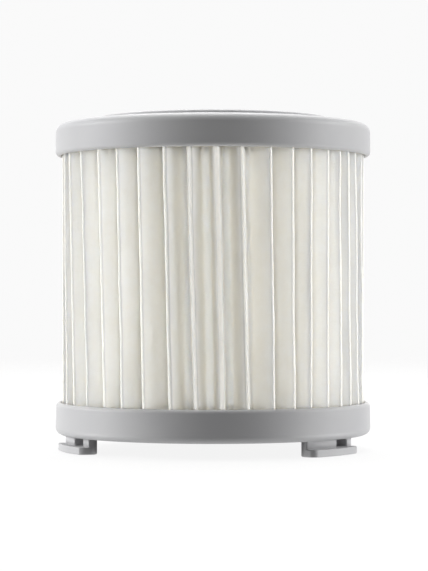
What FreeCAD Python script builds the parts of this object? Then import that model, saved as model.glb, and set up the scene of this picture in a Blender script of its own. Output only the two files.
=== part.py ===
import FreeCAD, Part
import math
import os

# Cylindrical pleated filter cartridge for a hand-held vacuum cleaner, in millimetres.
# The axis is Z. Z = 0 is the plane on which the three bayonet feet stand.

# Outside of the cartridge
cap_radius = 35.0
bottom_cap_height = 7.1
open_pleat_height = 54.5
top_cap_height = 7.1
skirt_wall = 1.25
skirt_lip_rounding = 0.9
bottom_cap_draft = 0.15
top_cap_draft = 0.1

# Closed top cap with a raised disc in its middle
top_plate = 1.6
top_rim_rounding = 2.0
disc_radius = 26.3
disc_rise = 1.3
disc_chamfer = 0.3
recess_margin = 0.7

# Bottom cap with the outlet in its middle
bottom_floor = 2.0
bottom_rim_rounding = 1.6
outlet_chamfer = 0.5

# Collars that centre the cage in both caps
collar_wall = 1.3
collar_height = 5.0
collar_clearance = 0.1

# Bayonet lugs under the bottom cap, each a foot hung from a wall and a post with a catch window between
lug_count = 3
first_lug_angle = 90.0
lug_width = 16.4
lug_depth = 5.0
lug_wall = 2.8
lug_slot = 1.75
foot_thickness = 1.6
foot_setback = 0.4
foot_chamfer = 0.25
heel_rounding = 1.9
toe_rounding = 1.6
post_rounding = 0.35
least_post_flat = 0.2
window_start = 1.35
window_width = 4.3

# Outlet seal in a groove of the bottom cap's underside
seal_offset = 1.6
seal_width = 2.6
seal_groove_depth = 1.1
seal_side_clearance = 0.05
seal_proud = 0.25
seal_chamfer = 0.6

# Pleated sheet, gathered by hand, so its folds are unevenly spaced and lean a little
pleat_count = 40
pleat_depth = 9.5
pleat_clearance = 0.2
media_thickness = 0.45
first_tip_angle = -81.4
# Each wave is (waves round the pack, swing in degrees, phase in degrees)
spacing_waves = [(2, 2.9, 58.0), (5, 0.7, -70.0), (11, 0.6, -118.0)]
mean_lean = 2.8
lean_waves = [(2, 1.7, -147.0), (5, 1.2, 71.0)]

# Adhesive beds that bond the ends of the pleats into the caps
bed_thickness = 2.5

# Support cage inside the pleats
cage_clearance = 0.25
cage_wall = 1.4
cage_rib_count = 10
cage_rib_width = 2.2
cage_row_count = 4
cage_hoop_height = 1.8
cage_end_band = 5.5

# Levels, from the feet up
bottom_under = foot_thickness + lug_slot
floor_top = bottom_under + bottom_floor
bottom_skirt_top = bottom_under + bottom_cap_height
top_skirt_bottom = bottom_skirt_top + open_pleat_height
rim_top = top_skirt_bottom + top_cap_height
plate_under = rim_top - top_plate
disc_top = rim_top + disc_rise
media_bottom = floor_top + bed_thickness
media_top = plate_under - bed_thickness

# Radii, from the skirt inwards
skirt_inner_radius = cap_radius - skirt_wall
tip_radius = skirt_inner_radius - pleat_clearance
media_inner_radius = tip_radius - pleat_depth
cage_outer_radius = media_inner_radius - cage_clearance
cage_inner_radius = cage_outer_radius - cage_wall
collar_outer_radius = cage_inner_radius - collar_clearance
outlet_radius = collar_outer_radius - collar_wall
groove_inner_radius = outlet_radius + seal_offset
groove_outer_radius = groove_inner_radius + seal_width
lug_inner_radius = cap_radius - lug_depth
lug_wall_radius = lug_inner_radius + lug_wall
foot_radius = cap_radius - foot_setback

axis = FreeCAD.Vector(0, 0, 1)


def turned(points):
    """Solid of revolution about Z of a closed outline of (radius, height) points."""
    corners = [FreeCAD.Vector(r, 0, z) for r, z in points]
    face = Part.Face(Part.makePolygon(corners + corners[:1]))
    return face.revolve(FreeCAD.Vector(), axis, 360)


def ring(inner, outer, low, high):
    """Plain ring about Z between two radii and two levels."""
    return turned([(inner, low), (outer, low), (outer, high), (inner, high)])


def circle_edges(solid, corners):
    """The circular edges of a turned solid at the given (radius, height) corners."""
    found = []
    for edge in solid.Edges:
        if isinstance(edge.Curve, Part.Circle):
            place = FreeCAD.Vector(edge.Curve.Radius, 0, edge.Curve.Center.z)
            if any(place.isEqual(FreeCAD.Vector(r, 0, z), 1e-5) for r, z in corners):
                found.append(edge)
    return found


def curved_bar(inner, outer, start, end, low, high):
    """Bar bent round Z on the +X side, between two radii, with ends square to Y."""
    def place(radius, across):
        return FreeCAD.Vector(math.sqrt(radius ** 2 - across ** 2), across, low)

    middle = (start + end) / 2
    edges = [
        Part.Arc(place(inner, start), place(inner, middle), place(inner, end)).toShape(),
        Part.makeLine(place(inner, end), place(outer, end)),
        Part.Arc(place(outer, end), place(outer, middle), place(outer, start)).toShape(),
        Part.makeLine(place(outer, start), place(inner, start)),
    ]
    return Part.Face(Part.Wire(edges)).extrude(axis * (high - low))


def upright_edges(bar, corners):
    """The upright edges of a bar at the given corners, each its radius and its distance across."""
    found = []
    for edge in bar.Edges:
        foot = edge.Vertexes[0].Point
        radius = math.hypot(foot.x, foot.y)
        if edge.BoundBox.ZLength > 1e-6:
            if any(abs(radius - r) + abs(foot.y - across) < 1e-5 for r, across in corners):
                found.append(edge)
    return found


def rounded_bar(inner, outer, start, end, low, high, roundings):
    """Curved bar with its own rounding at each corner: inner start, outer start, outer end, inner end."""
    bar = curved_bar(inner, outer, start, end, low, high)
    corners = [(inner, start), (outer, start), (outer, end), (inner, end)]
    for radius in sorted(set(roundings), reverse=True):
        chosen = [corner for corner, rounding in zip(corners, roundings) if rounding == radius]
        bar = bar.makeFillet(radius, upright_edges(bar, chosen))
    return bar


def turned_copies(solid, count, first_angle):
    """Copies of a solid spaced evenly round Z."""
    copies = []
    for index in range(count):
        copy = solid.copy()
        copy.rotate(FreeCAD.Vector(), axis, first_angle + 360 * index / count)
        copies.append(copy)
    return copies


def make_top_cap():
    """Moulded lid: skirt outside the pleats, collar inside the cage, raised disc hollow below."""
    upper_radius = cap_radius - top_cap_draft
    collar_inner_radius = collar_outer_radius - collar_wall
    recess_radius = collar_inner_radius - recess_margin
    collar_foot = plate_under - collar_height
    solid = turned([
        (0, disc_top),
        (disc_radius, disc_top),
        (disc_radius, rim_top),
        (upper_radius, rim_top),
        (cap_radius, top_skirt_bottom),
        (skirt_inner_radius, top_skirt_bottom),
        (skirt_inner_radius, plate_under),
        (collar_outer_radius, plate_under),
        (collar_outer_radius, collar_foot),
        (collar_inner_radius, collar_foot),
        (collar_inner_radius, plate_under),
        (recess_radius, plate_under),
        (recess_radius, disc_top - top_plate),
        (0, disc_top - top_plate),
    ])
    solid = solid.makeFillet(top_rim_rounding, circle_edges(solid, [(upper_radius, rim_top)]))
    solid = solid.makeChamfer(disc_chamfer, circle_edges(solid, [(disc_radius, disc_top)]))
    return solid.makeFillet(skirt_lip_rounding, circle_edges(solid, [(cap_radius, top_skirt_bottom)]))


def make_lug():
    """One bayonet lug on the +X side: a wall and a post, a catch window between, and a foot below."""
    end = lug_width / 2
    window_end = window_start + window_width
    toe = toe_rounding
    edge = post_rounding
    heel = min(heel_rounding, 0.7 * lug_wall, end - window_end - edge - least_post_flat)
    foot = rounded_bar(lug_inner_radius, foot_radius, -end, end, 0, foot_thickness, (heel, toe, toe, heel))
    sole = [rim for rim in foot.Edges if rim.BoundBox.ZMax < 1e-6]
    foot = foot.makeChamfer(foot_chamfer, sole)
    posts = []
    for start, stop, roundings in (
        (-end, window_start, (heel, edge, edge, edge)),
        (window_end, end, (edge, edge, edge, heel)),
    ):
        span = (lug_inner_radius, lug_wall_radius, start, stop, foot_thickness, floor_top)
        posts.append(rounded_bar(*span, roundings))
    return foot.fuse(posts)


def make_bottom_cap():
    """Moulded ring: skirt, floor, collar round the outlet, seal groove below, and the lugs."""
    upper_radius = cap_radius - bottom_cap_draft
    groove_top = bottom_under + seal_groove_depth
    collar_top = floor_top + collar_height
    solid = turned([
        (outlet_radius, bottom_under + outlet_chamfer),
        (outlet_radius, collar_top),
        (collar_outer_radius, collar_top),
        (collar_outer_radius, floor_top),
        (skirt_inner_radius, floor_top),
        (skirt_inner_radius, bottom_skirt_top),
        (upper_radius, bottom_skirt_top),
        (cap_radius, bottom_under),
        (groove_outer_radius, bottom_under),
        (groove_outer_radius, groove_top),
        (groove_inner_radius, groove_top),
        (groove_inner_radius, bottom_under),
        (outlet_radius + outlet_chamfer, bottom_under),
    ])
    solid = solid.makeFillet(bottom_rim_rounding, circle_edges(solid, [(cap_radius, bottom_under)]))
    solid = solid.makeFillet(skirt_lip_rounding, circle_edges(solid, [(upper_radius, bottom_skirt_top)]))
    lugs = turned_copies(make_lug(), lug_count, first_lug_angle)
    return solid.fuse(lugs).removeSplitter()


def make_outlet_seal():
    """Rubber face seal: flat in its groove, narrowed to a lip where it meets the filter seat."""
    inner = groove_inner_radius + seal_side_clearance
    outer = groove_outer_radius - seal_side_clearance
    low = bottom_under - seal_proud
    solid = ring(inner, outer, low, bottom_under + seal_groove_depth)
    return solid.makeChamfer(seal_chamfer, circle_edges(solid, [(inner, low), (outer, low)]))


def wave_sum(waves, turn):
    """Sum of waves round the pack, in degrees, at one direction."""
    return sum(swing * math.sin(math.radians(count * turn + phase)) for count, swing, phase in waves)


def tip_angle(index, level):
    """Direction of a pleat's tip in degrees. The level is 0 at the sheet's bottom and 1 at its top."""
    turn = 360 * index / pleat_count
    lean = mean_lean + wave_sum(lean_waves, turn)
    return first_tip_angle + turn + wave_sum(spacing_waves, turn) + lean * (0.5 - level)


def sheet_folds(inset, level, height):
    """Tip and valley folds in turn, each (centre, radius, side), for a surface inset into the sheet.

    The creases are pressed tight: round on the outside of each fold and sharp on its inside.
    """
    def place(radius, degrees):
        turn = math.radians(degrees)
        return FreeCAD.Vector(radius * math.cos(turn), radius * math.sin(turn), height)

    tip_centre = tip_radius - media_thickness
    valley_centre = media_inner_radius + media_thickness
    folds = []
    for index in range(pleat_count):
        here = tip_angle(index, level)
        between = (here + tip_angle(index + 1, level)) / 2
        folds.append((place(tip_centre, here), media_thickness - inset, 1))
        folds.append((place(valley_centre, between), inset, -1))
    return folds


def flank(fold, next_fold):
    """Ends of the straight flank that runs tangent from one fold to the next."""
    centre, radius, side = fold
    next_centre, next_radius, _ = next_fold
    span = next_centre - centre
    swing = math.asin((radius + next_radius) / span.Length)
    heading = math.atan2(span.y, span.x) + side * swing
    normal = FreeCAD.Vector(-math.sin(heading), math.cos(heading), 0) * side
    return centre - normal * radius, next_centre + normal * next_radius


def sheet_outline(inset, level, height):
    """Closed zigzag of fold arcs and flanks at one height."""
    folds = sheet_folds(inset, level, height)
    flanks = [flank(fold, folds[(index + 1) % len(folds)]) for index, fold in enumerate(folds)]
    edges = []
    for index, (centre, radius, _) in enumerate(folds):
        start = flanks[index - 1][1]
        end, far_end = flanks[index]
        if radius > 0:
            middle = (start - centre) + (end - centre)
            middle.Length = radius
            edges.append(Part.Arc(start, centre + middle, end).toShape())
        edges.append(Part.makeLine(end, far_end))
    return Part.Wire(edges)


def make_pleated_media():
    """Sheet folded into a ring of pleats, ruled from its bottom outline to its leaning top one."""
    bodies = []
    for inset in (0, media_thickness):
        ends = [sheet_outline(inset, 0, media_bottom), sheet_outline(inset, 1, media_top)]
        bodies.append(Part.makeLoft(ends, True, True))
    return bodies[0].cut(bodies[1])


def make_inner_cage():
    """Moulded tube of upright ribs and hoops that keeps the pleats from collapsing inwards."""
    hoop_count = cage_row_count - 1
    first_window = floor_top + cage_end_band
    last_window = plate_under - cage_end_band
    row_pitch = (last_window - first_window + cage_hoop_height) / cage_row_count
    levels = [(floor_top, first_window), (last_window, plate_under)]
    for index in range(1, hoop_count + 1):
        top = first_window + index * row_pitch
        levels.append((top - cage_hoop_height, top))
    hoops = [ring(cage_inner_radius, cage_outer_radius, low, high) for low, high in levels]
    half = cage_rib_width / 2
    rib = curved_bar(cage_inner_radius, cage_outer_radius, -half, half, floor_top, plate_under)
    ribs = turned_copies(rib, cage_rib_count, 180 / cage_rib_count)
    return hoops[0].fuse(hoops[1:] + ribs).removeSplitter()


pieces = {
    "top_cap": make_top_cap(),
    "bottom_cap": make_bottom_cap(),
    "pleated_media": make_pleated_media(),
    "inner_cage": make_inner_cage(),
    "top_adhesive": ring(cage_outer_radius, skirt_inner_radius, media_top, plate_under),
    "bottom_adhesive": ring(cage_outer_radius, skirt_inner_radius, floor_top, media_bottom),
    "outlet_seal": make_outlet_seal(),
}

os.makedirs("parts", exist_ok=True)
for name, shape in pieces.items():
    shape.exportStep("parts/" + name + ".step")
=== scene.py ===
import math

import bpy
import numpy as np
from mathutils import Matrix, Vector


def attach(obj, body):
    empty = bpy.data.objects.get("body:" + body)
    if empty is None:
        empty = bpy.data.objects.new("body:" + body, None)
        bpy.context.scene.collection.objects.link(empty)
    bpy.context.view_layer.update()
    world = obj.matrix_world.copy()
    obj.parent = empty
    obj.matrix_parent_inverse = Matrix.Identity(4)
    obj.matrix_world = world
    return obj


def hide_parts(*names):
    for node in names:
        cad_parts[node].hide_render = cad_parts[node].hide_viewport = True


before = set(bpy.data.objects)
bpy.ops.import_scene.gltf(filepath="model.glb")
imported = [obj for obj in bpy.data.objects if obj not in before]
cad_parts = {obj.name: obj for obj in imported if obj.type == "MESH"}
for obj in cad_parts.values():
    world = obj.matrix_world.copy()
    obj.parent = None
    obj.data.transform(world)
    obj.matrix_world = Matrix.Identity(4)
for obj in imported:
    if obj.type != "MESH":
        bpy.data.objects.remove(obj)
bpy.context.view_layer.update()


# Bottom cap. A light grey injection-moulded ring with a skirt round the pleats, a floor, and a collar
# round the outlet. Three bayonet lugs are moulded on below, each a foot that hangs from two posts.

def rounded_outline(corners):
    """Closed outline of (radius, height, rounding) corners in mm, with short chords round each rounding."""
    widest_chord = math.radians(15)
    points = []
    for index, (radius, height, rounding) in enumerate(corners):
        here = Vector((radius, height))
        before = (Vector(corners[index - 1][:2]) - here).normalized()
        after = (Vector(corners[(index + 1) % len(corners)][:2]) - here).normalized()
        half = before.angle(after) / 2
        if rounding == 0:
            points.append((radius, height))
            continue
        centre = here + (before + after).normalized() * rounding / math.sin(half)
        start = here + before * rounding / math.tan(half) - centre
        end = here + after * rounding / math.tan(half) - centre
        chords = max(2, math.ceil((math.pi - 2 * half) / widest_chord))
        sweep = start.angle_signed(end)
        for chord in range(chords + 1):
            turn = -sweep * chord / chords
            spoke = Vector((start.x * math.cos(turn) - start.y * math.sin(turn),
                            start.x * math.sin(turn) + start.y * math.cos(turn)))
            points.append(tuple(centre + spoke))
    return points


def turned_shell(outline, sides):
    """Vertices and faces of an outline of (radius, height) points in mm, spun once round the axis.

    The outline runs anticlockwise, seen with the axis on its left.
    """
    turns = np.arange(sides) * 2 * np.pi / sides
    radius, height = np.array(outline).T
    x = np.outer(np.cos(turns), radius)
    y = np.outer(np.sin(turns), radius)
    z = np.broadcast_to(height, x.shape)
    vertices = np.stack([x, y, z], -1).reshape(-1, 3)
    count = len(outline)
    faces = []
    for side in range(sides):
        here, there = side * count, (side + 1) % sides * count
        for point in range(count):
            ahead = (point + 1) % count
            faces.append((here + point, there + point, there + ahead, here + ahead))
    return vertices, faces


def lofted_block(loops):
    """Vertices and faces of a closed block through loops of points in mm, with a flat face at each end."""
    count = len(loops[0])
    vertices = np.concatenate(loops)
    faces = [tuple(reversed(range(count)))]
    for level in range(len(loops) - 1):
        low, high = level * count, (level + 1) * count
        for point in range(count):
            ahead = (point + 1) % count
            faces.append((low + point, low + ahead, high + ahead, high + point))
    last = (len(loops) - 1) * count
    faces.append(tuple(range(last, last + count)))
    return vertices, faces


mm = 0.001


def piece_from(name, shells):
    """One smooth-shaded object from closed shells of (vertices, faces) in mm."""
    vertices = []
    faces = []
    for shell_vertices, shell_faces in shells:
        first = len(vertices)
        vertices.extend(map(tuple, np.asarray(shell_vertices) * mm))
        faces.extend(tuple(first + corner for corner in face) for face in shell_faces)
    mesh = bpy.data.meshes.new(name)
    mesh.from_pydata(vertices, [], faces)
    mesh.polygons.foreach_set("use_smooth", [True] * len(mesh.polygons))
    piece = bpy.data.objects.new(name, mesh)
    bpy.context.scene.collection.objects.link(piece)
    even = piece.modifiers.new("even_normals", "WEIGHTED_NORMAL")
    even.weight = 100
    return piece


cap_radius = 35.0
skirt_wall = 1.25
skirt_inner = cap_radius - skirt_wall
foot_level = 0.0
foot_top = 1.6
bottom_under = 3.35
floor_top = 5.35
bottom_skirt_top = 10.45
bottom_draft = 0.15
bottom_rim_rounding = 1.6
lip_rounding, inner_lip_rounding = 0.9, 0.3
collar_outer = 22.3
collar_height = 5.0
collar_rounding = 0.35
outlet_radius, outlet_rounding = 21.0, 0.5
groove_inner, groove_outer, groove_top = 22.6, 25.2, 4.45
groove_rounding = 0.15
cap_sides = 240

bottom_ring = turned_shell(rounded_outline([
    (groove_inner, bottom_under, groove_rounding),
    (groove_inner, groove_top, 0),
    (groove_outer, groove_top, 0),
    (groove_outer, bottom_under, groove_rounding),
    (cap_radius, bottom_under, bottom_rim_rounding),
    (cap_radius - bottom_draft, bottom_skirt_top, lip_rounding),
    (skirt_inner, bottom_skirt_top, inner_lip_rounding),
    (skirt_inner, floor_top, 0),
    (collar_outer, floor_top, 0),
    (collar_outer, floor_top + collar_height, collar_rounding),
    (outlet_radius, floor_top + collar_height, collar_rounding),
    (outlet_radius, bottom_under, outlet_rounding),
]), cap_sides)

lug_half, lug_inner = 8.2, 30.0
wall_outer, foot_outer = 32.8, 34.55
heel, toe, post_edge = 1.9, 1.6, 0.35
nose, nose_cut = 2.57, 0.35
window_start, window_end = 1.35, 5.65
sole_rounding, foot_rounding = 0.3, 0.18
post_root, root_inset = 0.2, 0.03
post_flare, post_head = 0.3, 0.3
corner_points, face_points = 11, 9
quarter_turn = [math.radians(angle) for angle in (0, 22.5, 45, 67.5, 90)]


def bar_plan(inner, outer, start, end, roundings, cut=0.0):
    """Plan of a bar bent round the axis on its +X side: points and outward normals, in order round it.

    The roundings are those of its corners: inner start, outer start, outer end and inner end. The outer
    end's rounding stands past the outer face by the cut, so that the two meet in a crisp edge.
    """
    reaches = [inner + roundings[0], outer - roundings[1], outer + cut - roundings[2], inner + roundings[3]]
    sides = [start + roundings[0], start + roundings[1], end - roundings[2], end - roundings[3]]
    arcs = []
    for corner, (reach, side, rounding) in enumerate(zip(reaches, sides, roundings)):
        lean = math.asin(side / reach)
        first = math.pi + corner * math.pi / 2 + (lean if corner % 2 == 0 else 0)
        last = math.pi + (corner + 1) * math.pi / 2 + (lean if corner % 2 == 1 else 0)
        if corner == 2 and cut > 0:
            first += math.acos((outer ** 2 - reach ** 2 - rounding ** 2) / (2 * reach * rounding))
        angles = np.linspace(first, last, corner_points)
        normals = np.column_stack([np.cos(angles), np.sin(angles)])
        arcs.append((np.array([reach * math.cos(lean), side]) + rounding * normals, normals))
    points = []
    normals = []
    for corner, (arc_points, arc_normals) in enumerate(arcs):
        points.append(arc_points)
        normals.append(arc_normals)
        if corner % 2 == 1:
            radius, way = (outer, 1) if corner == 1 else (inner, -1)
            ends = [math.atan2(*spot[::-1]) for spot in (arc_points[-1], arcs[(corner + 1) % 4][0][0])]
            turns = np.linspace(*ends, face_points)[1:-1]
            spokes = np.column_stack([np.cos(turns), np.sin(turns)])
            points.append(radius * spokes)
            normals.append(way * spokes)
    return np.concatenate(points), np.concatenate(normals)


def bar_loops(plan, levels, limits=None):
    """Loops of a bar at each (height, growth) level, kept within (inner radius, half width) if given."""
    points, normals = plan
    loops = []
    for height, growth in levels:
        grown = points + normals * growth
        if limits:
            inner, half = limits
            grown[:, 1] = np.clip(grown[:, 1], -half, half)
            reach = np.hypot(grown[:, 0], grown[:, 1])
            grown = grown * (np.maximum(reach, inner) / reach)[:, None]
        loops.append(np.column_stack([grown, np.full(len(grown), height)]))
    return loops


def eased(low, high, low_round, high_round):
    """Levels of a block with rounded lower and upper edges."""
    levels = [(low + low_round * (1 - math.cos(s)), -low_round * (1 - math.sin(s))) for s in quarter_turn]
    levels += [(high - high_round * (1 - math.sin(s)), -high_round * (1 - math.cos(s))) for s in quarter_turn]
    return levels


def flared(low, high, flare):
    """Levels of a post that widens in a small fillet at its head."""
    fillet = [(high - flare * (1 - math.sin(s)), flare * (1 - math.cos(s))) for s in quarter_turn]
    return [(low, 0.0)] + fillet


def turned_about(loops, degrees):
    """Loops turned round the axis."""
    turn = math.radians(degrees)
    across, along = math.cos(turn), math.sin(turn)
    matrix = np.array([[across, -along, 0], [along, across, 0], [0, 0, 1]])
    return [loop @ matrix.T for loop in loops]


lug_shells = []
foot_plan = bar_plan(lug_inner, foot_outer, -lug_half, lug_half, (heel, toe, nose, heel), nose_cut)
post_plans = [
    bar_plan(lug_inner, wall_outer, -lug_half, window_start, (heel, post_edge, post_edge, post_edge)),
    bar_plan(lug_inner, wall_outer, window_end, lug_half, (post_edge, post_edge, post_edge, heel)),
]
post_levels = [(foot_top - post_root, -root_inset)]
post_levels += flared(foot_top, bottom_under, post_flare)
post_levels.append((bottom_under + post_head, post_flare))
for lug_angle in (90, 210, 330):
    foot_loops = bar_loops(foot_plan, eased(foot_level, foot_top, sole_rounding, foot_rounding))
    lug_shells.append(lofted_block(turned_about(foot_loops, lug_angle)))
    for post_plan in post_plans:
        post_loops = bar_loops(post_plan, post_levels, (lug_inner, lug_half))
        lug_shells.append(lofted_block(turned_about(post_loops, lug_angle)))
bottom_cap = piece_from("bottom_cap_moulding", [bottom_ring] + lug_shells)


class Wire:
    """A shader socket that stands in Python expressions: each operator adds its own Math node."""

    def __init__(self, tree, socket=None):
        self.tree = tree
        self.socket = socket

    def node(self, kind, settings=None, sockets=None, output=0):
        """Adds any node: first its settings, then the values or links of its sockets."""
        made = self.tree.nodes.new("ShaderNode" + kind)
        for name, value in (settings or {}).items():
            setattr(made, name, value)
        for name, value in (sockets or {}).items():
            if isinstance(value, Wire):
                self.tree.links.new(value.socket, made.inputs[name])
            else:
                made.inputs[name].default_value = value
        return Wire(self.tree, made.outputs[output])

    def math(self, operation, first, second=0.0):
        return self.node("Math", {"operation": operation}, {0: first, 1: second})

    def __add__(self, other):
        return self.math("ADD", self, other)

    def __radd__(self, other):
        return self.math("ADD", other, self)

    def __sub__(self, other):
        return self.math("SUBTRACT", self, other)

    def __rsub__(self, other):
        return self.math("SUBTRACT", other, self)

    def __mul__(self, other):
        return self.math("MULTIPLY", self, other)

    def __rmul__(self, other):
        return self.math("MULTIPLY", other, self)

    def between(self, start, end):
        """0 before the start, 1 past the end and smooth between them. The end may be the lower one."""
        sockets = {"Value": self, "From Min": start, "From Max": end}
        return self.node("MapRange", {"interpolation_type": "SMOOTHSTEP"}, sockets)

    def mixed(self, first, second):
        """Colour that goes from the first to the second as this value goes from 0 to 1."""
        return self.node("Mix", {"data_type": "RGBA"}, {0: self, 6: first, 7: second}, output=2)

    def feed(self, shader, socket):
        self.tree.links.new(self.socket, shader.inputs[socket])


def new_finish(name):
    """A material, a wire in its node tree and its shader."""
    material = bpy.data.materials.new(name)
    material.use_nodes = True
    tree = material.node_tree
    return material, Wire(tree), tree.nodes["Principled BSDF"]


def shade(red, green, blue):
    """Colour for a shader from the values that a colour picker shows, 0 to 255."""
    levels = [value / 255 for value in (red, green, blue)]
    linear = [v / 12.92 if v < 0.04045 else ((v + 0.055) / 1.055) ** 2.4 for v in levels]
    return (*linear, 1)


def moulded_plastic(name, light, dark, roughness):
    """Satin moulded plastic: faint clouding, spark-eroded grain and a few rubbed patches."""
    material, wire, shader = new_finish(name)
    place = wire.node("TexCoord", output=3)
    cloud = wire.node("TexNoise", {}, {"Vector": place, "Scale": 75.0, "Detail": 3.0})
    grain = wire.node("TexNoise", {}, {"Vector": place, "Scale": 4200.0, "Detail": 2.0})
    wear_and_painted_tip_shade = wire.node("TexNoise", {}, {"Vector": place, "Scale": 210.0, "Detail": 5.0, "Roughness": 0.62})
    cloud.between(0.3, 0.7).mixed(light, dark).feed(shader, "Base Color")
    patch = wear_and_painted_tip_shade.between(0.55, 0.75)
    (roughness + 0.05 * grain - 0.07 * patch).feed(shader, "Roughness")
    relief = grain * 0.6 + wear_and_painted_tip_shade * 0.4
    bump = wire.node("Bump", {}, {"Strength": 0.12, "Distance": 0.00004, "Height": relief})
    bump.feed(shader, "Normal")
    shader.inputs["IOR"].default_value = 1.5
    return material


cap_plastic = moulded_plastic("cap_plastic", shade(204, 204, 205), shade(200, 200, 202), 0.44)
bottom_cap.data.materials.append(cap_plastic)
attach(bottom_cap, "root")
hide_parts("bottom_cap")


# Outlet seal. A soft ring of dark rubber that sits in the groove in the bottom cap's underside.
# Its lip stands a little proud and seals against the vacuum's filter seat.

seal_clearance, seal_back_gap, seal_proud = 0.05, 0.02, 0.25
seal_inner, seal_outer = groove_inner + seal_clearance, groove_outer - seal_clearance
seal_low, seal_top = bottom_under - seal_proud, groove_top - seal_back_gap
seal_middle = (seal_inner + seal_outer) / 2
lip_half, lip_height = 0.55, 0.55
back_rounding, shoulder_rounding, seal_lip_rounding = 0.1, 0.3, 0.35
seal_sides = 180
outlet_seal = piece_from("outlet_seal_ring", [turned_shell(rounded_outline([
    (seal_inner, seal_low + lip_height, shoulder_rounding),
    (seal_middle - lip_half, seal_low, seal_lip_rounding),
    (seal_middle + lip_half, seal_low, seal_lip_rounding),
    (seal_outer, seal_low + lip_height, shoulder_rounding),
    (seal_outer, seal_top, back_rounding),
    (seal_inner, seal_top, back_rounding),
]), seal_sides)])

seal_rubber, wire, shader = new_finish("seal_rubber")
place = wire.node("TexCoord", output=3)
bloom = wire.node("TexNoise", {}, {"Vector": place, "Scale": 320.0, "Detail": 5.0})
pores = wire.node("TexNoise", {}, {"Vector": place, "Scale": 3600.0, "Detail": 2.0})
bloom.between(0.35, 0.75).mixed(shade(46, 46, 48), shade(66, 66, 68)).feed(shader, "Base Color")
(0.58 + 0.2 * bloom).feed(shader, "Roughness")
wire.node("Bump", {}, {"Strength": 0.25, "Distance": 0.00006, "Height": pores}).feed(shader, "Normal")
outlet_seal.data.materials.append(seal_rubber)
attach(outlet_seal, "root")
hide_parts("outlet_seal")


# Inner cage. A white moulded tube of upright ribs and hoops, slipped over the collars of both caps.
# It keeps the pleats from being sucked inwards.

cage_outer, cage_inner = 23.8, 22.4
plate_under = 70.45
rib_count, rib_width = 10, 2.2
hoop_height, row_count, end_band = 1.8, 4, 5.5
window_steps = 5
cage_edge = 0.28


def grid_tube():
    """Vertices and faces of a tube whose wall is a grid of ribs and hoops with open windows between."""
    half_rib = math.degrees(rib_width / 2 / cage_outer)
    pitch = 360 / rib_count
    turns = []
    for rib in range(rib_count):
        middle = pitch / 2 + rib * pitch
        turns += [(middle - half_rib, True), (middle + half_rib, False)]
        gap = pitch - 2 * half_rib
        turns += [(middle + half_rib + gap * step / window_steps, False) for step in range(1, window_steps)]
    first, last = floor_top + end_band, plate_under - end_band
    row = (last - first + hoop_height) / row_count
    heights = [(floor_top, True), (first, False)]
    for index in range(1, row_count):
        heights += [(first + index * row - hoop_height, True), (first + index * row, False)]
    heights += [(last, True), (plate_under, True)]
    across, up = len(turns), len(heights)
    vertices = []
    for radius in (cage_outer, cage_inner):
        for height, _ in heights:
            for turn, _ in turns:
                angle = math.radians(turn)
                vertices.append((radius * math.cos(angle), radius * math.sin(angle), height))

    def corner(layer, level, column):
        return layer * across * up + level * across + column % across

    def solid(level, column):
        if level < 0 or level >= up - 1:
            return False
        return heights[level][1] or turns[column % across][1]

    faces = []
    for level in range(up - 1):
        for column in range(across):
            if not solid(level, column):
                continue
            square = [(level, column), (level, column + 1), (level + 1, column + 1), (level + 1, column)]
            faces.append([corner(0, *spot) for spot in square])
            faces.append([corner(1, *spot) for spot in reversed(square)])
            beside = [(level - 1, column), (level, column + 1), (level + 1, column), (level, column - 1)]
            for edge, neighbour in enumerate(beside):
                if not solid(*neighbour):
                    start, end = square[edge], square[(edge + 1) % 4]
                    faces.append([corner(0, *end), corner(0, *start), corner(1, *start), corner(1, *end)])
    return np.array(vertices), faces


inner_cage = piece_from("inner_cage_grid", [grid_tube()])
softened = inner_cage.modifiers.new("softened_edges", "BEVEL")
softened.width = cage_edge * mm
softened.segments = 3
softened.limit_method = "ANGLE"
softened.angle_limit = math.radians(40)
inner_cage.modifiers.move(1, 0)
cage_plastic = moulded_plastic("cage_plastic", shade(222, 222, 218), shade(214, 214, 209), 0.45)
inner_cage.data.materials.append(cage_plastic)
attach(inner_cage, "root")
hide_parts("inner_cage")


# Pleated sheet. White felted fibre, folded into forty uneven pleats that lean a little.
# The folds are pressed, so most tips are narrow, and the tips carry painted shade, a little greyer, to dim
# the lamps' light on them.
# Both ends of the pack are sunk in the adhesive.

pleat_count = 40
tip_radius, valley_radius = 33.55, 24.05
sheet_thickness = 0.45
media_bottom, media_top, sunk = 7.85, 67.95, 0.3
first_tip_angle = -81.4
# Each wave is (waves round the pack, swing in degrees, phase in degrees).
spacing_waves = [(2, 2.9, 58.0), (5, 0.7, -70.0), (11, 0.6, -118.0)]
mean_lean = 2.8
lean_waves = [(2, 1.7, -147.0), (5, 1.2, 71.0)]
# The first tip is bent aside by this many degrees at its lower and upper end.
bent_fold = (0.7, 1.35)
tip_fold, valley_fold = 0.25, 0.9
tip_fold_spread = (-0.03, 0.05)
# Fold radius and shoulder swell of the pleats that were pinched less, and the swell of all the others.
broad_tips = {0: 0.58, 1: 0.38, 39: 0.38, 38: 0.3}
soft_shoulders = {0: 0.2, 1: 0.3, 39: 0.3, 38: 0.3}
usual_shoulder = 0.1
# Each wander is (size, longest wave in mm). The first two sizes are in degrees, the others in mm.
tip_sway, valley_sway = (0.08, 70), (0.25, 60)
tip_drop, valley_lift, wall_bulge = (0.1, 80), (0.2, 50), (0.08, 75)
bulge_spread = 0.06
# Each wander sums waves as long as the longest divided by these numbers, and shorter ones are weaker.
wave_divisors, wave_fade = (1, 2.3, 5.1), 0.8
cage_gap = 0.1
sheet_rows, tip_chords, valley_chords = 46, 8, 5
# Nearness of the points on a wall to its tip: 0 at the valley and 1 at the tip.
wall_stations = (0.94, 0.84, 0.68, 0.42, 0.16)
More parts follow.
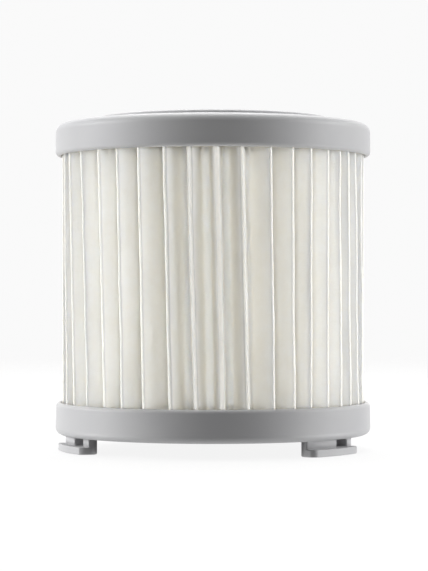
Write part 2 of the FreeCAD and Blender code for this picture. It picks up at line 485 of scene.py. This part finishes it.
# Nearness on the tips themselves, which sets their painted shade: the broad ones are painted darkest.
broad_crest, thin_crest = 1.0, 0.98
# At a tip the sheet is no thicker than this share of the fold's radius.
tip_thickness_share = 0.9
chance = np.random.default_rng(40)


def wave_sum(waves, turn):
    """Sum of waves round the pack, in degrees."""
    return sum(swing * np.sin(np.radians(count * turn + phase)) for count, swing, phase in waves)


def slow_wander(heights, count, size, longest):
    """Smooth seeded wander along each of a number of folds, of about the given size."""
    total = np.zeros((len(heights), count))
    for divisor in wave_divisors:
        length = longest / divisor
        phase = chance.uniform(0, 2 * np.pi, count)
        strength = chance.normal(0, size * (length / longest) ** wave_fade, count)
        total += strength * np.sin(2 * np.pi * heights[:, None] / length + phase)
    return total


def fold_places(heights):
    """Centres and radii of the tip and valley folds, in turn, at each height."""
    level = ((heights - media_bottom) / (media_top - media_bottom))[:, None]
    turn = 360 * np.arange(pleat_count) / pleat_count
    lean = mean_lean + wave_sum(lean_waves, turn)
    tips = first_tip_angle + turn + wave_sum(spacing_waves, turn) + lean * (0.5 - level)
    tips = tips + slow_wander(heights, pleat_count, *tip_sway)
    tips[:, 0] += (bent_fold[0] + (bent_fold[1] - bent_fold[0]) * level)[:, 0]
    once_round = np.where(np.arange(pleat_count) == pleat_count - 1, 360, 0)
    valleys = (tips + np.roll(tips, -1, 1) + once_round) / 2
    valleys = valleys + slow_wander(heights, pleat_count, *valley_sway)
    tip_round = tip_fold + chance.uniform(*tip_fold_spread, pleat_count)
    for pleat, rounding in broad_tips.items():
        tip_round[pleat] = rounding
    tip_round = np.broadcast_to(tip_round, tips.shape)
    valley_round = np.full(tips.shape, valley_fold)
    tip_reach = tip_radius - np.abs(slow_wander(heights, pleat_count, *tip_drop)) - tip_round
    valley_reach = valley_radius + sheet_thickness + cage_gap + valley_fold
    valley_reach = valley_reach + np.abs(slow_wander(heights, pleat_count, *valley_lift))
    angles = np.stack([tips, valleys], -1).reshape(len(heights), -1)
    reaches = np.stack([tip_reach, valley_reach], -1).reshape(len(heights), -1)
    rounds = np.stack([tip_round, valley_round], -1).reshape(len(heights), -1)
    turns = np.radians(angles)
    return reaches * np.cos(turns), reaches * np.sin(turns), rounds


def wall_swell(bulge, shoulder, nearness):
    """How far a wall stands out: a bulge at mid wall and a soft shoulder close to its tip."""
    bulge_scale, shoulder_scale = 4, 12.2
    bulge_rise = bulge * bulge_scale * nearness * (1 - nearness)
    return bulge_rise + shoulder * shoulder_scale * nearness ** 4 * (1 - nearness)


def sheet_surface(heights):
    """Outer points of the folded sheet, row by row, its depth there and each point's nearness to a tip."""
    x, y, rounds = fold_places(heights)
    folds = x.shape[1]
    side = np.where(np.arange(folds) % 2 == 0, 1.0, -1.0)
    step_x, step_y = np.roll(x, -1, 1) - x, np.roll(y, -1, 1) - y
    span = np.hypot(step_x, step_y)
    heading = np.arctan2(step_y, step_x) + side * np.arcsin((rounds + np.roll(rounds, -1, 1)) / span)
    facing = heading - np.pi / 2
    bulge = slow_wander(heights, folds, *wall_bulge) + chance.normal(0, bulge_spread, folds)
    full = np.full(len(heights), sheet_thickness)
    columns = []
    for fold in range(folds):
        tip = fold % 2 == 0
        before = facing[:, fold - 1]
        swing = (facing[:, fold] - before + np.pi) % (2 * np.pi) - np.pi
        arc = tip_chords if tip else valley_chords
        crest = broad_crest if fold // 2 in broad_tips else thin_crest
        for step in range(arc + 1):
            angle = before + swing * step / arc
            normal = np.column_stack([np.cos(angle), np.sin(angle)])
            reach = (side[fold] * rounds[:, fold])[:, None]
            point = np.column_stack([x[:, fold], y[:, fold]]) + reach * normal
            inset = np.minimum(sheet_thickness, tip_thickness_share * rounds[:, fold]) if tip else full
            columns.append((point, normal, crest if tip else 0.0, inset))
        normal = np.column_stack([np.cos(facing[:, fold]), np.sin(facing[:, fold])])
        ahead = (fold + 1) % folds
        start = columns[-1][0]
        reach = (side[ahead] * rounds[:, ahead])[:, None]
        end = np.column_stack([x[:, ahead], y[:, ahead]]) + reach * normal
        shoulder = soft_shoulders.get((fold + 1) // 2 % pleat_count, usual_shoulder)
        for nearness in wall_stations if tip else wall_stations[::-1]:
            share = 1 - nearness if tip else nearness
            swell = wall_swell(bulge[:, fold], shoulder, nearness)[:, None]
            columns.append((start + (end - start) * share + swell * normal, normal, nearness, full))
    points, normals, insets = (np.stack([column[item] for column in columns], 1) for item in (0, 1, 3))
    nearness = np.array([column[2] for column in columns])
    return points, normals * insets[:, :, None], nearness


def folded_sheet():
    """The sheet as one closed mesh, with a flat map and each point's nearness to a tip, and its flat size."""
    heights = np.linspace(media_bottom - sunk, media_top + sunk, sheet_rows)
    points, depths, nearness = sheet_surface(heights)
    rows, columns = points.shape[:2]
    layers = []
    for plan in (points, points - depths):
        height = np.broadcast_to(heights[:, None, None], (rows, columns, 1))
        layers.append(np.concatenate([plan, height], -1).reshape(-1, 3))
    size = rows * columns
    row, column = np.meshgrid(np.arange(rows - 1), np.arange(columns), indexing="ij")
    here = (row * columns + column).ravel()
    there = (row * columns + (column + 1) % columns).ravel()
    outside = np.column_stack([here, there, there + columns, here + columns])
    inside = np.column_stack([here, here + columns, there + columns, there]) + size
    ring = np.arange(columns)
    ahead = (ring + 1) % columns
    low = np.column_stack([ring, ring + size, ahead + size, ahead])
    top = (rows - 1) * columns
    high = np.column_stack([ring, ahead, ahead + size, ring + size]) + top
    faces = np.concatenate([outside, inside, low, high])
    mesh = bpy.data.meshes.new("pleated_sheet")
    mesh.from_pydata((np.concatenate(layers) * mm).tolist(), [], faces.tolist())
    mesh.polygons.foreach_set("use_smooth", [True] * len(mesh.polygons))
    middle = points[rows // 2]
    steps = np.linalg.norm(np.roll(middle, -1, 0) - middle, axis=1)
    along = np.concatenate([[0], np.cumsum(steps)])
    flat = mesh.uv_layers.new(name="flat_sheet")
    corner_vertices = np.empty(len(mesh.loops), int)
    mesh.loops.foreach_get("vertex_index", corner_vertices)
    columns_of = corner_vertices % columns
    across = along[columns_of]
    closing = (faces % columns == columns - 1).any(1) & (faces % columns == 0).any(1)
    across[np.repeat(closing, 4) & (columns_of == 0)] = along[-1]
    up = heights[corner_vertices % size // columns]
    flat.data.foreach_set("uv", np.column_stack([across, up]).ravel() * mm)
    tip = mesh.attributes.new("tip", "FLOAT", "POINT")
    tip.data.foreach_set("value", np.tile(nearness, rows * 2))
    return mesh, (along[-1] * mm, (heights[-1] - heights[0]) * mm)


sheet_mesh, flat_size = folded_sheet()
pleated_media = bpy.data.objects.new("pleated_sheet", sheet_mesh)
bpy.context.scene.collection.objects.link(pleated_media)

filter_media, wire, shader = new_finish("filter_media")
place = wire.node("TexCoord", output=3)
sheet = wire.node("TexCoord", output=2)
tip = wire.node("Attribute", {"attribute_name": "tip"}, output=2)
cloud = wire.node("TexNoise", {}, {"Vector": place, "Scale": 260.0, "Detail": 4.0})
fibres = wire.node("TexNoise", {"noise_dimensions": "2D"},
                   {"Vector": sheet, "Scale": 2600.0, "Detail": 4.0, "Distortion": 0.8})
matting = wire.node("TexNoise", {}, {"Vector": place, "Scale": 900.0, "Detail": 3.0})
tone = 0.6 * cloud + 0.25 * matting + 0.15 * fibres
body_colour = tone.between(0.38, 0.64).mixed(shade(243, 239, 228), shade(245, 242, 233))
# Painted shade: the tips are painted greyer, the broad ones most, to dim the lamps' light on them.
wear_and_painted_tip_shade = tip.between(0.945, 1.0)
wear_and_painted_tip_shade.mixed(body_colour, shade(201, 199, 193)).feed(shader, "Base Color")
(0.86 + 0.1 * matting).feed(shader, "Roughness")
felt = fibres * 0.5 + matting * 0.5
wire.node("Bump", {}, {"Strength": 0.35, "Distance": 0.00008, "Height": felt}).feed(shader, "Normal")
shader.inputs["Specular IOR Level"].default_value = 0.2
shader.inputs["Subsurface Weight"].default_value = 1.0
shader.inputs["Subsurface Radius"].default_value = (1.0, 0.95, 0.85)
shader.inputs["Subsurface Scale"].default_value = 1.8 * mm
pleated_media.data.materials.append(filter_media)
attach(pleated_media, "root")
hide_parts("pleated_media")


# Adhesive beds. Off-white glue cast into each cap as a ring between the skirt and the cage.
# The ends of the pleats were set in it wet, and it crept a little way up the walls beside it.

bed_sides, bed_rings, skirt_gap = 360, 22, 0.02
lump_waves, lump_pace, lump_height = 7, 1.3, 0.12
creep_height, creep_reach = 0.3, 0.5


def glue_bed(name, face, back, direction):
    """A ring of glue with a lumpy face that creeps up the skirt and the cage."""
    reaches = np.linspace(cage_outer, skirt_inner - skirt_gap, bed_rings)
    angles = np.arange(bed_sides) * 2 * np.pi / bed_sides
    x, y = np.outer(np.cos(angles), reaches), np.outer(np.sin(angles), reaches)
    waves = chance.uniform(-lump_pace, lump_pace, (lump_waves, 3))
    lumps = sum(np.sin(x * kx + y * ky + phase) for kx, ky, phase in waves) / lump_waves
    edge = np.minimum(reaches - cage_outer, skirt_inner - reaches)
    creep = creep_height * np.exp(-edge / creep_reach)[None, :]
    rise = face + direction * (lump_height * lumps + creep)
    front = np.stack([x, y, rise], -1)
    rear = np.stack([x, y, np.full(x.shape, back)], -1)
    loop = np.concatenate([front, rear[:, ::-1]], 1)
    width = 2 * bed_rings
    faces = []
    for turn in range(bed_sides):
        here, there = turn * width, (turn + 1) % bed_sides * width
        for point in range(width):
            ahead = (point + 1) % width
            square = (here + point, there + point, there + ahead, here + ahead)
            faces.append(square if direction < 0 else square[::-1])
    return piece_from(name, [(loop.reshape(-1, 3), faces)])


adhesive, wire, shader = new_finish("adhesive")
place = wire.node("TexCoord", output=3)
swirl = wire.node("TexNoise", {}, {"Vector": place, "Scale": 240.0, "Detail": 4.0, "Distortion": 1.2})
bubbles = wire.node("TexVoronoi", {}, {"Vector": place, "Scale": 900.0})
swirl.between(0.35, 0.65).mixed(shade(226, 221, 206), shade(236, 232, 219)).feed(shader, "Base Color")
(0.32 + 0.2 * swirl).feed(shader, "Roughness")
pits = 1 - bubbles.between(0.0, 0.35)
wire.node("Bump", {}, {"Strength": 0.3, "Distance": 0.0001, "Height": swirl - pits}).feed(shader, "Normal")
for bed_name, bed_face, bed_back, bed_way, node in (
    ("bottom_adhesive_bed", media_bottom, floor_top, 1, "bottom_adhesive"),
    ("top_adhesive_bed", media_top, plate_under, -1, "top_adhesive"),
):
    bed = glue_bed(bed_name, bed_face, bed_back, bed_way)
    bed.data.materials.append(adhesive)
    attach(bed, "root")
    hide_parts(node)


# Top cap. A closed moulded lid with a skirt round the pleats and a raised disc in the middle of its top.
# Inside, a collar centres the cage and a shallow recess keeps the disc's wall even.

top_skirt_bottom, rim_top, disc_top = 64.95, 72.05, 73.35
disc_radius, top_plate, recess_radius = 26.3, 1.6, 20.3
top_draft, top_rim_rounding = 0.1, 2.0
disc_foot_rounding, disc_rounding = 0.5, 0.7
recess_rounding = 0.3
collar_foot = plate_under - collar_height
axis_gap = 0.02
top_cap = piece_from("top_cap_moulding", [turned_shell(rounded_outline([
    (axis_gap, disc_top, 0),
    (axis_gap, disc_top - top_plate, 0),
    (recess_radius, disc_top - top_plate, recess_rounding),
    (recess_radius, plate_under, recess_rounding),
    (outlet_radius, plate_under, recess_rounding),
    (outlet_radius, collar_foot, collar_rounding),
    (collar_outer, collar_foot, collar_rounding),
    (collar_outer, plate_under, 0),
    (skirt_inner, plate_under, 0),
    (skirt_inner, top_skirt_bottom, inner_lip_rounding),
    (cap_radius, top_skirt_bottom, lip_rounding),
    (cap_radius - top_draft, rim_top, top_rim_rounding),
    (disc_radius, rim_top, disc_foot_rounding),
    (disc_radius, disc_top, disc_rounding),
]), cap_sides)])
top_cap.data.materials.append(cap_plastic)
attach(top_cap, "root")
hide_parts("top_cap")


# Studio. The cartridge stands on a pale floor before a white backdrop, in a glow that is strongest from
# above. High and low lamps on both sides light all but the sheet, which has its own beside and before it.
# Only the camera sees the floor: other rays meet a dark patch, painted shadow under the cartridge.

view_turn = math.radians(8.5)
view_distance, eye_level = 0.465, 0.0342
floor_reach, floor_gap = 3.0, 0.0002
paper_sweep, shadow_patch_edge = (0.25, 0.7), (0.026, 0.034)

floor_mesh = bpy.data.meshes.new("floor")
floor_signs = ((-1, -1), (1, -1), (1, 1), (-1, 1))
floor_corners = [(x_sign * floor_reach, y_sign * floor_reach, 0) for x_sign, y_sign in floor_signs]
floor_mesh.from_pydata(floor_corners, [], [(0, 1, 2, 3)])
floor = bpy.data.objects.new("floor", floor_mesh)
bpy.context.scene.collection.objects.link(floor)
floor.location.z = -floor_gap
floor_paper, wire, _ = new_finish("floor_paper")
place = wire.node("TexCoord", output=3)
away = wire.node("VectorMath", {"operation": "LENGTH"}, {0: place}, output=1)
lit = wire.node("BsdfDiffuse", {}, {"Color": (0.1, 0.1, 0.1, 1)})
bright = wire.node("Emission", {}, {"Color": (1, 1, 1, 1), "Strength": 0.89})
paper = wire.node("AddShader", {}, {0: lit, 1: bright})
open_air = wire.node("BsdfTransparent")
sweep = wire.node("MixShader", {}, {0: away.between(*paper_sweep), 1: paper, 2: open_air})
# Painted shadow: rays other than the camera's meet a dark patch under the cartridge, standing in for its
# shadow.
shaded = wire.node("BsdfDiffuse", {}, {"Color": (0.05, 0.05, 0.05, 1)})
shadow_patch = wire.node("MixShader", {}, {0: away.between(*shadow_patch_edge), 1: shaded, 2: open_air})
direct = wire.node("LightPath", output=0)
whole = wire.node("MixShader", {}, {0: direct, 1: shadow_patch, 2: sweep})
whole.feed(floor_paper.node_tree.nodes["Material Output"], "Surface")
floor_mesh.materials.append(floor_paper)

world = bpy.context.scene.world or bpy.data.worlds.new("studio")
bpy.context.scene.world = world
world.use_nodes = True
backdrop = world.node_tree.nodes["Background"]
wire = Wire(world.node_tree)
direct = wire.node("LightPath", output=0)
way = wire.node("TexCoord", output=0)
front = wire.node("VectorMath", {"operation": "DOT_PRODUCT"},
                  {0: way, 1: (math.sin(view_turn), -math.cos(view_turn), 0)}, output=1)
up = wire.node("SeparateXYZ", {}, {0: way}, output=2)
glow_lift, glow_tilt, glow_edge = 0.89, 0.456, (0.787, 1.067)
behind_edge, below_edge = (-0.39, -0.99), (-0.45, -0.9)
behind_glow, over_glow, ahead_glow, below_glow = 0.95, 6.56, 0.97, 0.61
behind = front.between(*behind_edge)
over = (glow_lift * up - glow_tilt * front).between(*glow_edge)
ahead = (glow_lift * up + glow_tilt * front).between(*glow_edge)
below = up.between(*below_edge)
glow = behind_glow * behind + over_glow * over + ahead_glow * ahead + below_glow * below
around = wire.node("CombineXYZ", {}, {0: glow, 1: glow, 2: glow})
backdrop_white = (0.955, 0.955, 0.955, 1)
direct.mixed(around, backdrop_white).feed(backdrop, "Color")

all_but_sheet = bpy.data.collections.new("all_but_sheet")
for piece_name in ("bottom_cap_moulding", "outlet_seal_ring", "inner_cage_grid", "bottom_adhesive_bed",
                   "top_adhesive_bed", "top_cap_moulding", "floor"):
    all_but_sheet.objects.link(bpy.data.objects[piece_name])
sheet_only = bpy.data.collections.new("sheet_only")
sheet_only.objects.link(pleated_media)
lamp_distance, aim_level = 1.3, 0.037
for lamp_name, lamp_turn, raised, size, power, receivers in (
        ("left_high_lamp", -88, 0.55, (0.95, 0.45), 13.2, all_but_sheet),
        ("left_low_lamp", -88, -0.45, (0.95, 0.45), 10.0, all_but_sheet),
        ("right_high_lamp", 91, 0.55, (0.95, 0.45), 9.9, all_but_sheet),
        ("right_low_lamp", 91, -0.45, (0.95, 0.45), 10.1, all_but_sheet),
        ("left_sheet_lamp", -92, 0.05, (0.8, 0.6), 18.8, sheet_only),
        ("right_sheet_lamp", 93, 0.05, (0.8, 0.6), 16.6, sheet_only),
        ("left_fill", -40, 0.1, (0.5, 0.5), 1.3, sheet_only),
        ("right_fill", 36, 0.1, (0.5, 0.5), 4.2, sheet_only),
        ("middle_fill", 0, 0.05, (0.5, 0.5), 11.6, sheet_only)):
    lamp = bpy.data.lights.new(lamp_name, "AREA")
    lamp.shape = "RECTANGLE"
    lamp.size, lamp.size_y = size
    lamp.energy = power
    bearing = view_turn + math.radians(lamp_turn)
    stand = bpy.data.objects.new(lamp_name, lamp)
    bpy.context.scene.collection.objects.link(stand)
    stand.location = (lamp_distance * math.sin(bearing), -lamp_distance * math.cos(bearing), raised)
    aim = Vector((0, 0, aim_level)) - stand.location
    stand.rotation_euler = aim.to_track_quat("-Z", "Y").to_euler()
    stand.visible_camera = False
    stand.light_linking.receiver_collection = receivers

camera = bpy.data.cameras.new("camera")
camera.lens = 131.5
camera.clip_start = 0.01
viewpoint = bpy.data.objects.new("camera", camera)
bpy.context.scene.collection.objects.link(viewpoint)
viewpoint.location = (view_distance * math.sin(view_turn), -view_distance * math.cos(view_turn), eye_level)
look_aside, look_level = 0.00022, 0.0363
target = Vector((look_aside * math.cos(view_turn), look_aside * math.sin(view_turn), look_level))
viewpoint.rotation_euler = (target - viewpoint.location).to_track_quat("-Z", "Y").to_euler()
bpy.context.scene.camera = viewpoint
bpy.context.scene.view_settings.view_transform = "Standard"
